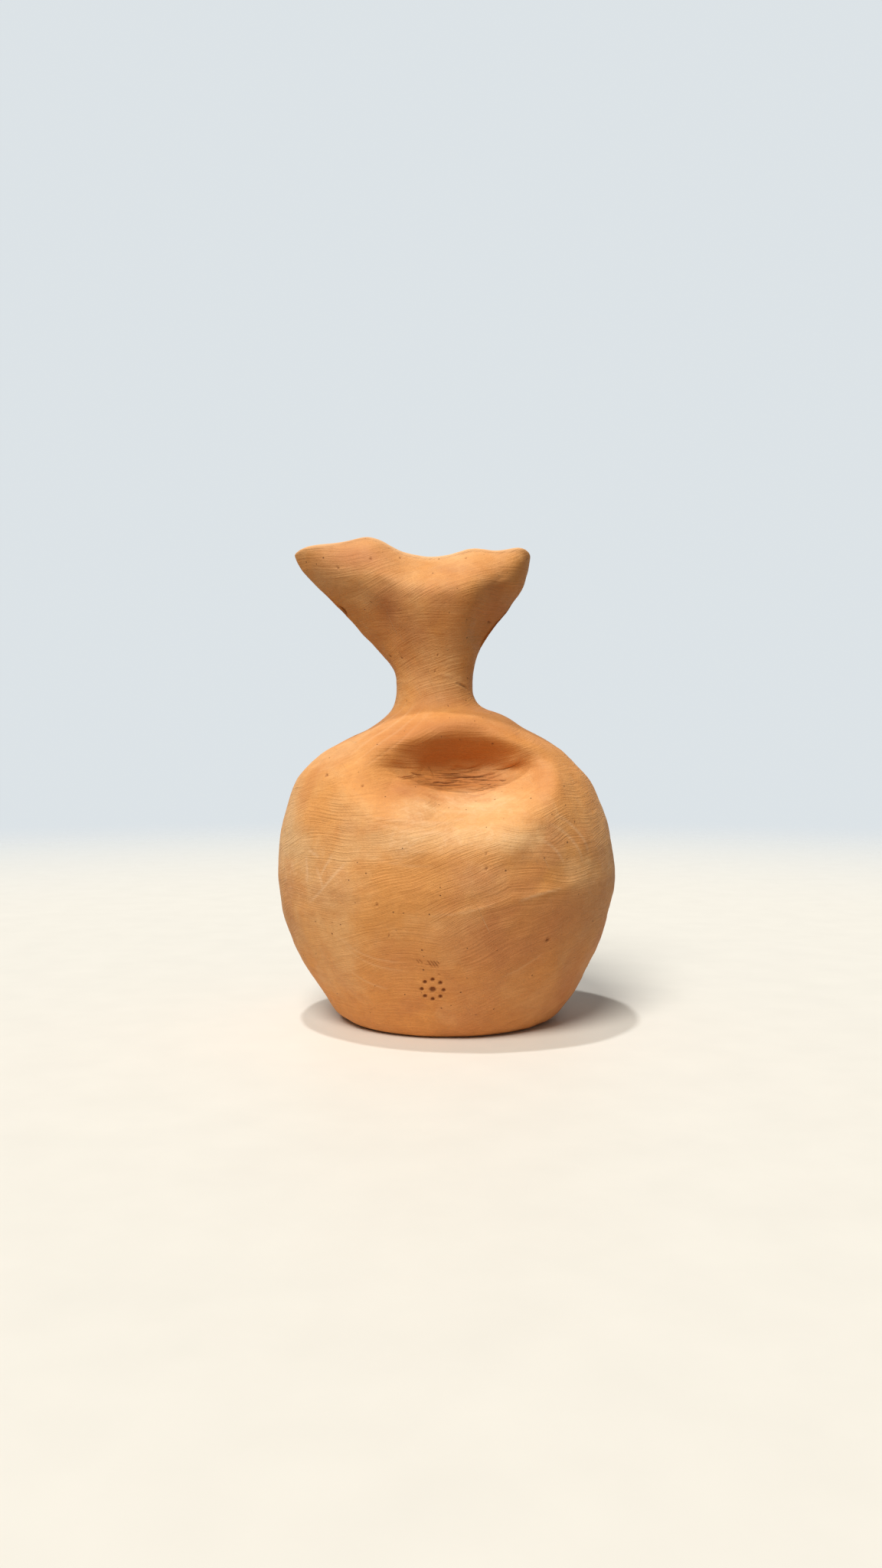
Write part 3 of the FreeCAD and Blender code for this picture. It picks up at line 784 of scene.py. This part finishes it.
def burnt_pinholes():
    """Group: sparse small pits where grit burned out. A cell pattern gives the middles, and each
    cell's own colour says whether it has a pit."""
    group = new_group(
        "burnt_pinholes",
        [
            ("Place", "NodeSocketVector", None),
            ("Spacing", "NodeSocketFloat", 0.005),
            ("Radius", "NodeSocketFloat", 0.0004),
            ("Share", "NodeSocketFloat", 0.4),
        ],
        [("Pit", "NodeSocketFloat")],
    )
    nodes = Nodes(group)
    given = nodes.add("NodeGroupInput").outputs
    result = nodes.add("NodeGroupOutput").inputs
    scale = nodes.math("DIVIDE", 1.0, given["Spacing"])
    cells = nodes.add("ShaderNodeTexVoronoi", {"Vector": given["Place"], "Scale": scale})
    gap = nodes.math("MULTIPLY", cells.outputs["Distance"], given["Spacing"])
    draw = nodes.add("ShaderNodeSeparateColor", {"Color": cells.outputs["Color"]}).outputs
    radius = nodes.math("MULTIPLY", given["Radius"], nodes.math("ADD", 0.5, draw["Green"]))
    open_pit = nodes.math("SUBTRACT", 1.0, nodes.between(gap, nodes.math("MULTIPLY", radius, 0.5), radius))
    chosen = nodes.math("LESS_THAN", draw["Red"], given["Share"])
    nodes.put(result["Pit"], nodes.math("MULTIPLY", open_pit, chosen))
    return group


WARM_CLAY = (0.700, 0.318, 0.090, 1)
PALE_CLAY = (0.790, 0.485, 0.230, 1)
ROSY_CLAY = (0.555, 0.228, 0.080, 1)
CUT_CLAY = (0.165, 0.040, 0.010, 1)
# Painted shade under the brow.
BROW_SHADE_CLAY = (0.500, 0.152, 0.024, 1)
# Pale dust, also used for the painted highlight on the lip and on the crests of strokes.
DUST_AND_HIGHLIGHT = (0.850, 0.540, 0.300, 1)
clouds_group, strokes_group, pinholes_group = clay_clouds(), smoothing_strokes(), burnt_pinholes()

terracotta = bpy.data.materials.new("terracotta_smoothed")
terracotta.use_nodes = True
nodes = Nodes(terracotta.node_tree)
shader = terracotta.node_tree.nodes["Principled BSDF"]
place = nodes.add("ShaderNodeTexCoord").outputs["Object"]


def group_node(tree, **inputs):
    """One use of a node group in the terracotta, with its own values."""
    node = nodes.add("ShaderNodeGroup", node_tree=tree)
    for name, value in inputs.items():
        nodes.put(node.inputs[name.replace("_", " ")], value)
    return node.outputs


def attribute(name):
    """A mask that the mesh carries."""
    return nodes.add("ShaderNodeAttribute", attribute_name=name).outputs["Fac"]


body = group_node(
    clouds_group,
    Place=place,
    Warm=WARM_CLAY,
    Pale=PALE_CLAY,
    Rosy=ROSY_CLAY,
    Pale_Lift=attribute("pale"),
    Rosy_Lift=attribute("rosy"),
    Cloud_Size=0.045,
    Grit_Size=0.0011,
)
SLANT, SWEEP = (0, math.radians(22), 0), (0.4, math.radians(-62), 0)
slanted = nodes.add("ShaderNodeMapping", {"Vector": place, "Rotation": SLANT}).outputs[0]
swept = nodes.add("ShaderNodeMapping", {"Vector": place, "Rotation": SWEEP}).outputs[0]
level = group_node(strokes_group, Place=place, Length=0.034, Width=0.0010, Bend=0.010)["Height"]
slant = group_node(strokes_group, Place=slanted, Length=0.028, Width=0.0009, Bend=0.012)["Height"]
fields = nodes.between(nodes.noise(place, 17.0, 1.0), 0.44, 0.56)
strokes = nodes.mix(fields, level, slant)
scratches = group_node(strokes_group, Place=swept, Length=0.045, Width=0.0007, Bend=0.006)["Height"]
scuffed = nodes.between(nodes.noise(place, 24.0, 2.0), 0.52, 0.66)
scuffs = nodes.math("MULTIPLY", nodes.between(scratches, 0.66, 0.74), scuffed)
pits = group_node(pinholes_group, Place=place, Spacing=0.0052, Radius=0.00042, Share=0.45)["Pit"]
mottle = nodes.between(nodes.noise(place, 240.0, 5.0, 0.70, 0.8), 0.50, 0.60)
mottle = nodes.math("MULTIPLY", mottle, attribute("pale"), clamp=True)
cut = attribute("cuts")
lip_pale = attribute("lip_wear_and_highlight")
fibres = group_node(strokes_group, Place=place, Length=0.020, Width=0.00055, Bend=0.010)["Height"]
tears = nodes.math("MULTIPLY", nodes.between(fibres, 0.55, 0.63), attribute("wrinkled"))

tone = nodes.mix(nodes.between(strokes, 0.20, 0.80), (0.94, 0.90, 0.86, 1), (1.05, 1.06, 1.09, 1))
colour = nodes.mix(1.0, body["Color"], tone, "MULTIPLY")
# Painted shade under the brow and over its torn strip.
colour = nodes.mix(nodes.math("MULTIPLY", attribute("painted_brow_shade"), 0.62), colour, BROW_SHADE_CLAY)
colour = nodes.mix(nodes.math("MULTIPLY", mottle, 0.40), colour, DUST_AND_HIGHLIGHT)
colour = nodes.mix(nodes.math("MULTIPLY", scuffs, 0.60), colour, DUST_AND_HIGHLIGHT)
# Pale scratches, and crests partly painted as highlights.
colour = nodes.mix(nodes.math("MULTIPLY", attribute("scores_and_crest_highlights"), 0.75), colour, DUST_AND_HIGHLIGHT)
# The worn lip, with a painted highlight along its edge.
colour = nodes.mix(nodes.math("MULTIPLY", lip_pale, 0.80), colour, DUST_AND_HIGHLIGHT)
colour = nodes.mix(nodes.math("MULTIPLY", pits, 0.65), colour, CUT_CLAY)
colour = nodes.mix(nodes.math("MULTIPLY", tears, 0.22), colour, CUT_CLAY)
colour = nodes.mix(nodes.math("MULTIPLY", cut, 0.86), colour, CUT_CLAY)
nodes.put(shader.inputs["Base Color"], colour)

rough = nodes.math("ADD", 0.56, nodes.math("MULTIPLY", body["Grit"], 0.22))
rough = nodes.math("ADD", rough, nodes.math("MULTIPLY", cut, 0.2), clamp=True)
nodes.put(shader.inputs["Roughness"], rough)
shader.inputs["Specular IOR Level"].default_value = 0.35

height = nodes.math("ADD", strokes, nodes.math("MULTIPLY", body["Grit"], 0.35))
height = nodes.math("SUBTRACT", height, nodes.math("MULTIPLY", pits, 1.6))
height = nodes.math("SUBTRACT", height, nodes.math("MULTIPLY", scuffs, 0.25))
height = nodes.math("SUBTRACT", height, nodes.math("MULTIPLY", tears, 0.6))
bump = nodes.add("ShaderNodeBump", {"Height": height, "Strength": 1.00, "Distance": 0.00060})
nodes.put(shader.inputs["Normal"], bump.outputs["Normal"])

# Pale and rosy clouds on the front: across, height, half width, half height, and how pale and how rosy. Some
# are the kiln's clouds; the ones marked below are painted light and shade.
CLOUDS_AND_PAINTED_LIGHT = [
    (-10.0, 121.0, 24.0, 8.0, 0.65, 0.00),
    (20.0, 119.0, 20.0, 7.0, 0.40, 0.00),
    # Painted light on the lit shelf.
    (16.0, 137.0, 26.0, 7.0, 0.90, 0.00),
    # Painted shade in the hollow below and left of the cracks.
    (-26.0, 145.5, 17.0, 6.5, 0.00, 0.55),
    # A painted sheen highlight, a little pink.
    (-26.0, 115.0, 9.0, 8.0, 0.55, 0.15),
    (40.0, 120.0, 26.0, 10.0, 0.35, 0.00),
    (12.0, 100.0, 14.0, 9.0, 0.15, 0.20),
    # Painted shade under the bulge.
    (64.0, 72.0, 24.0, 20.0, 0.00, 0.55),
    (24.0, 56.0, 26.0, 16.0, 0.00, 0.55),
    # These two paint the light on the belly's left and right edges.
    (96.0, 100.0, 14.0, 34.0, 0.60, 0.00),
    (-97.0, 104.0, 13.0, 34.0, 0.60, 0.00),
    (-19.0, 134.0, 11.0, 6.0, 0.65, 0.00),
    (-70.0, 96.0, 20.0, 26.0, 0.25, 0.00),
    (-44.0, 50.0, 26.0, 14.0, 0.00, 0.15),
    (-8.0, 66.0, 22.0, 14.0, 0.00, 0.25),
    (57.0, 151.0, 10.0, 16.0, 0.00, 0.50),
    # Painted shade on the top of the left wing, a painted highlight at the rim's dip, then painted shade
    # under the mouth's highlight, in the mouth's valleys and middle, and on the brow.
    (-58.0, 286.0, 26.0, 10.0, 0.00, 0.95),
    (-2.0, 289.0, 18.0, 4.0, 0.70, 0.00),
    (6.0, 279.0, 18.0, 5.0, 0.00, 0.35),
    (-36.0, 254.0, 11.0, 20.0, 0.00, 0.75),
    (-22.0, 240.0, 7.0, 9.0, 0.00, 0.50),
    (30.0, 258.0, 10.0, 24.0, 0.00, 0.60),
    (2.0, 250.0, 16.0, 18.0, 0.00, 0.30),
    (8.0, 182.0, 32.0, 6.0, 0.00, 0.60),
    (-30.0, 176.0, 16.0, 7.0, 0.00, 0.35),
]
pale = np.zeros((ROWS, COLUMNS))
rosy = np.zeros((ROWS, COLUMNS))
for across, height_middle, half_width, half_height, paleness, rosiness in CLOUDS_AND_PAINTED_LIGHT:
    gap = (skin[..., [0, 2]] - (across, height_middle)) / (half_width, half_height)
    cloud = np.exp(-((gap**2).sum(-1))) * front
    pale += paleness * cloud
    rosy += rosiness * cloud
# Below the join of the two bowls, which rises to the right from a little left of the middle, the clay
# is rosier.
JOIN_HEIGHT, JOIN_RISE, JOIN_EASE = 78.3, 0.19, 6.0
JOIN_START, JOIN_FADE, JOIN_ROSINESS = -14.0, 30.0, 0.30
across, up = skin[..., 0], skin[..., 2]
below_join = smooth((JOIN_HEIGHT + JOIN_RISE * across - up) / JOIN_EASE)
rosy += JOIN_ROSINESS * below_join * smooth((across - JOIN_START) / JOIN_FADE) * front
# The foot and the lower belly are a little rosier, more so towards the foot.
LOWER_ROSINESS, ROSIER_BELOW_HEIGHT = 0.30, 60.0
rosy += LOWER_ROSINESS * smooth((ROSIER_BELOW_HEIGHT - up) / ROSIER_BELOW_HEIGHT) * (up < SEAM_HEIGHT)
masks = {
    "cuts": cuts, "lip_wear_and_highlight": lip_wear_and_highlight, "pale": pale, "rosy": rosy,
    "wrinkled": wrinkled, "painted_brow_shade": painted_brow_shade, "scores_and_crest_highlights": scores_and_crest_highlights,
}


# The members. Each is a closed piece of the one skin: its part of the outside, its part of the inside,
# and the hidden faces where it is slipped to its neighbours. All carry the skin's own normals, so no
# seam shows.
def grid_faces(numbers, ring=True):
    """Four-sided faces between the rows of a grid of vertex numbers, closed round if it is a ring."""
    right = np.roll(numbers, -1, axis=1) if ring else numbers[:, 1:]
    left = numbers if ring else numbers[:, :-1]
    return np.stack([left[:-1], right[:-1], right[1:], left[1:]], -1).reshape(-1, 4)


def member(name, node, points, directions, values, faces, caps):
    """A mesh object from vertices, their normals and masks, smooth faces and flat hidden caps, which
    stands in for a node of the solids."""
    mesh = bpy.data.meshes.new(name)
    mesh.from_pydata((points * MILLIMETRE).tolist(), [], faces + caps)
    count = len(mesh.loops)
    corners = np.empty(count, np.int32)
    mesh.loops.foreach_get("vertex_index", corners)
    shown = directions[corners]
    flat = np.empty(len(mesh.polygons) * 3)
    mesh.polygons.foreach_get("normal", flat)
    starts = np.empty(len(mesh.polygons), np.int32)
    mesh.polygons.foreach_get("loop_start", starts)
    first_cap = starts[len(faces)] if caps else count
    owners = np.repeat(np.arange(len(starts)), np.diff(np.append(starts, count)))
    shown[first_cap:] = flat.reshape(-1, 3)[owners[first_cap:]]
    mesh.polygons.foreach_set("use_smooth", np.ones(len(mesh.polygons), bool))
    mesh.normals_split_custom_set(shown.tolist())
    for label, mask in values.items():
        layer = mesh.attributes.new(label, "FLOAT", "POINT")
        layer.data.foreach_set("value", mask.astype(np.float32))
    mesh.materials.append(terracotta)
    piece = bpy.data.objects.new(name, mesh)
    bpy.context.scene.collection.objects.link(piece)
    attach(piece, "root")
    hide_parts(node)


def ring_member(name, node, low, high, lining_low, lining_high):
    """A band of the pot between two rows of the outside and two of the lining, capped at both seams."""
    outside = np.arange(low, high + 1)
    inside = np.arange(lining_high, lining_low + 1)
    rows = np.concatenate([outside, inside])
    numbers = np.arange(len(rows) * COLUMNS).reshape(len(rows), COLUMNS)
    split = len(outside)
    faces = grid_faces(numbers[:split]).tolist() + grid_faces(numbers[split:]).tolist()
    caps = grid_faces(numbers[[split - 1, split]]).tolist() + grid_faces(numbers[[-1, 0]]).tolist()
    values = {label: mask[rows].ravel() for label, mask in masks.items()}
    member(name, node, skin[rows].reshape(-1, 3), normals[rows].reshape(-1, 3), values, faces, caps)


def row_at(heights, height):
    """The number of the row at a height."""
    return int(np.abs(heights - height).argmin())


FLOOR_ROW = row_at(outer_heights, FLOOR_THICKNESS)
GIRTH_ROW = row_at(outer_heights, GIRTH_HEIGHT)
SHOULDER_ROW = row_at(outer_heights, SHOULDER_HEIGHT)
LINING_FLOOR_ROW = LINING_ROW + row_at(inner_heights, FLOOR_THICKNESS)
LINING_GIRTH_ROW = LINING_ROW + row_at(inner_heights, GIRTH_HEIGHT)
LINING_SHOULDER_ROW = LINING_ROW + row_at(inner_heights, SHOULDER_HEIGHT)

# Floor slab: a round of clay patted flat, with its edge rolled under; the vase stands on its flat face.
DISC_SHARES = np.array([0.92, 0.8, 0.62, 0.42, 0.22, 0.08])


def disc(edge, centre_height):
    """Rings of points that shrink from an edge towards its middle, which comes last."""
    middle = edge.mean(0)
    middle[2] = centre_height
    rings = middle + (edge - middle) * DISC_SHARES[:, None, None]
    return rings, middle


under_rings, under_middle = disc(skin[0], 0)
upper_rings, upper_middle = disc(skin[LINING_FLOOR_ROW], FLOOR_THICKNESS)
slab_rows = np.concatenate([
    under_rings[::-1], skin[: FLOOR_ROW + 1], skin[LINING_FLOOR_ROW, None], upper_rings,
])
numbers = np.arange(slab_rows.shape[0] * COLUMNS).reshape(-1, COLUMNS)
edge_row = len(under_rings)
top_row = edge_row + FLOOR_ROW
faces = grid_faces(numbers[edge_row:top_row + 1]).tolist()
caps = grid_faces(numbers[:edge_row + 1]).tolist() + grid_faces(numbers[top_row:]).tolist()
under_number, upper_number = numbers.size, numbers.size + 1
nearby = np.roll(numbers, -1, axis=1)
caps += [[under_number, b, a] for a, b in zip(numbers[0].tolist(), nearby[0].tolist())]
caps += [[a, b, upper_number] for a, b in zip(numbers[-1].tolist(), nearby[-1].tolist())]
slab_points = np.vstack([slab_rows.reshape(-1, 3), under_middle, upper_middle])
slab_normals = np.zeros_like(slab_points)
slab_normals[edge_row * COLUMNS:(top_row + 1) * COLUMNS] = normals[: FLOOR_ROW + 1].reshape(-1, 3)
slab_values = {}
for label, mask in masks.items():
    value = np.zeros(len(slab_points))
    value[edge_row * COLUMNS:(top_row + 1) * COLUMNS] = mask[: FLOOR_ROW + 1].ravel()
    slab_values[label] = value
member("floor_slab_clay", "floor_slab", slab_points, slab_normals, slab_values, faces, caps)

# Lower bowl: pinched up from the slab to the girth. The pressed rosette and the nicks are in its front.
ring_member("lower_bowl_clay", "lower_bowl", FLOOR_ROW, GIRTH_ROW, LINING_FLOOR_ROW, LINING_GIRTH_ROW)

# Upper bowl: a second bowl turned over on the first, with the dent pushed into its front.
ring_member("upper_bowl_clay", "upper_bowl", GIRTH_ROW, SHOULDER_ROW, LINING_GIRTH_ROW, LINING_SHOULDER_ROW)

# Neck collar: a short coil that carries the shoulder up into the neck.
ring_member("neck_collar_clay", "neck_collar", SHOULDER_ROW, MOUTH_ROW, LINING_SHOULDER_ROW, LINING_ROW - 1)


# Mouth halves: two leaves of clay joined at the tips, the front one leaning back, with a rolled lip.
def mouth_member(name, node, columns):
    """A leaf of the mouth between two columns: outside, lip and inside, closed along both side seams
    and under the foot of the leaf."""
    rows = np.arange(MOUTH_ROW, LINING_ROW)
    picked = np.ix_(rows, columns)
    count = len(rows)
    numbers = np.arange(count * len(columns)).reshape(count, -1)
    faces = grid_faces(numbers, ring=False).tolist()
    caps = grid_faces(numbers[[-1, 0]], ring=False).tolist()
    near = np.arange(count // 2 - 1)
    far = count - 1 - near
    for column, first, second in ((numbers[:, 0], 0, 1), (numbers[:, -1], 1, 0)):
        corners = [column[near + first], column[near + second], column[far - second], column[far - first]]
        caps += np.stack(corners, -1).tolist()
    values = {label: mask[picked].ravel() for label, mask in masks.items()}
    member(name, node, skin[picked].reshape(-1, 3), normals[picked].reshape(-1, 3), values, faces, caps)


mouth_member("mouth_back_clay", "mouth_back", np.arange(SIDE_COLUMN + 1))
mouth_member("mouth_front_clay", "mouth_front", np.append(np.arange(SIDE_COLUMN, COLUMNS), 0))


# The pale floor under the vase. It fades out into the background far from the vase.
FLOOR_RADIUS, FLOOR_CLEAR_RADIUS, FLOOR_GONE_RADIUS = 2.4, 0.55, 2.16
FLOOR_SIDES = 96
FLOOR_COLOUR = (0.76, 0.75, 0.71, 1)
FLOOR_BOUNCE, NEAR_BOUNCE = (0.22, 0.18, 0.13, 1), (0.80, 0.70, 0.54, 1)
NEAR_RADIUS, NEAR_CLEAR_RADIUS = 0.10, 0.24
BACKGROUND = (0.72, 0.77, 0.80, 1)
floor_mesh = bpy.data.meshes.new("studio_floor")
floor_turns = np.arange(FLOOR_SIDES) * 2 * math.pi / FLOOR_SIDES
floor_edge = np.stack([np.cos(floor_turns), np.sin(floor_turns), 0 * floor_turns], -1) * FLOOR_RADIUS
floor_mesh.from_pydata(floor_edge.tolist(), [], [list(range(FLOOR_SIDES))])
floor = bpy.data.objects.new("studio_floor", floor_mesh)
bpy.context.scene.collection.objects.link(floor)
floor_material = bpy.data.materials.new("painted_floor")
floor_material.use_nodes = True
nodes = Nodes(floor_material.node_tree)
shader = floor_material.node_tree.nodes["Principled BSDF"]
place = nodes.add("ShaderNodeTexCoord").outputs["Object"]
away = nodes.add("ShaderNodeVectorMath", {"Vector": place}, operation="LENGTH").outputs["Value"]
clear = nodes.between(away, FLOOR_CLEAR_RADIUS, FLOOR_GONE_RADIUS)
paint = nodes.noise(place, 30.0, 4.0)
paint_tone = nodes.math("ADD", 0.96, nodes.math("MULTIPLY", paint, 0.08))
paint_colour = nodes.mix(1.0, FLOOR_COLOUR, paint_tone, "MULTIPLY")
near = nodes.math("SUBTRACT", 1.0, nodes.between(away, NEAR_RADIUS, NEAR_CLEAR_RADIUS))
bounce = nodes.mix(near, FLOOR_BOUNCE, NEAR_BOUNCE)
nodes.put(shader.inputs["Base Color"], nodes.mix(nodes.seen(), bounce, paint_colour))
nodes.put(shader.inputs["Alpha"], nodes.math("SUBTRACT", 1.0, clear))
shader.inputs["Roughness"].default_value = 0.6
floor_mesh.materials.append(floor_material)

# Studio light: a high lamp a little to the left, a wide soft lamp over the camera, and dim even light
# from all round. The camera sees a plain pale background.
LAMPS = [
    # name, direction, strength, spread, colour
    ("high_lamp", (-0.163, -0.04, 1.0), 1.24, math.radians(3), (1.0, 0.98, 0.94)),
    ("front_lamp", (-0.40, -1.0, 1.30), 2.92, math.radians(26), (1.0, 0.95, 0.86)),
]
ROUND_LIGHT = (0.150, 0.134, 0.112, 1)
for name, direction, strength, spread, lamp_colour in LAMPS:
    lamp = bpy.data.lights.new(name, "SUN")
    lamp.energy, lamp.angle, lamp.color = strength, spread, lamp_colour
    lamp_object = bpy.data.objects.new(name, lamp)
    lamp_object.rotation_euler = Vector(direction).to_track_quat("Z", "Y").to_euler()
    bpy.context.scene.collection.objects.link(lamp_object)
world = bpy.data.worlds.new("studio")
world.use_nodes = True
bpy.context.scene.world = world
nodes = Nodes(world.node_tree)
background = world.node_tree.nodes["Background"]
nodes.put(background.inputs["Color"], nodes.mix(nodes.seen(), ROUND_LIGHT, BACKGROUND))

# Camera: level with the shoulder and close, tipped down a little, as the vase was seen.
CAMERA_PLACE = (-0.0039, -0.745, 0.168)
CAMERA_TIP = math.radians(90 - 1.64)
SENSOR_WIDTH, LENS_LENGTH = 36, 27.04
camera = bpy.data.cameras.new("camera")
camera.sensor_width = SENSOR_WIDTH
camera.lens = LENS_LENGTH
camera_object = bpy.data.objects.new("camera", camera)
camera_object.location = CAMERA_PLACE
camera_object.rotation_euler = (CAMERA_TIP, 0, 0)
bpy.context.scene.collection.objects.link(camera_object)
bpy.context.scene.camera = camera_object
bpy.context.scene.view_settings.view_transform = "Standard"
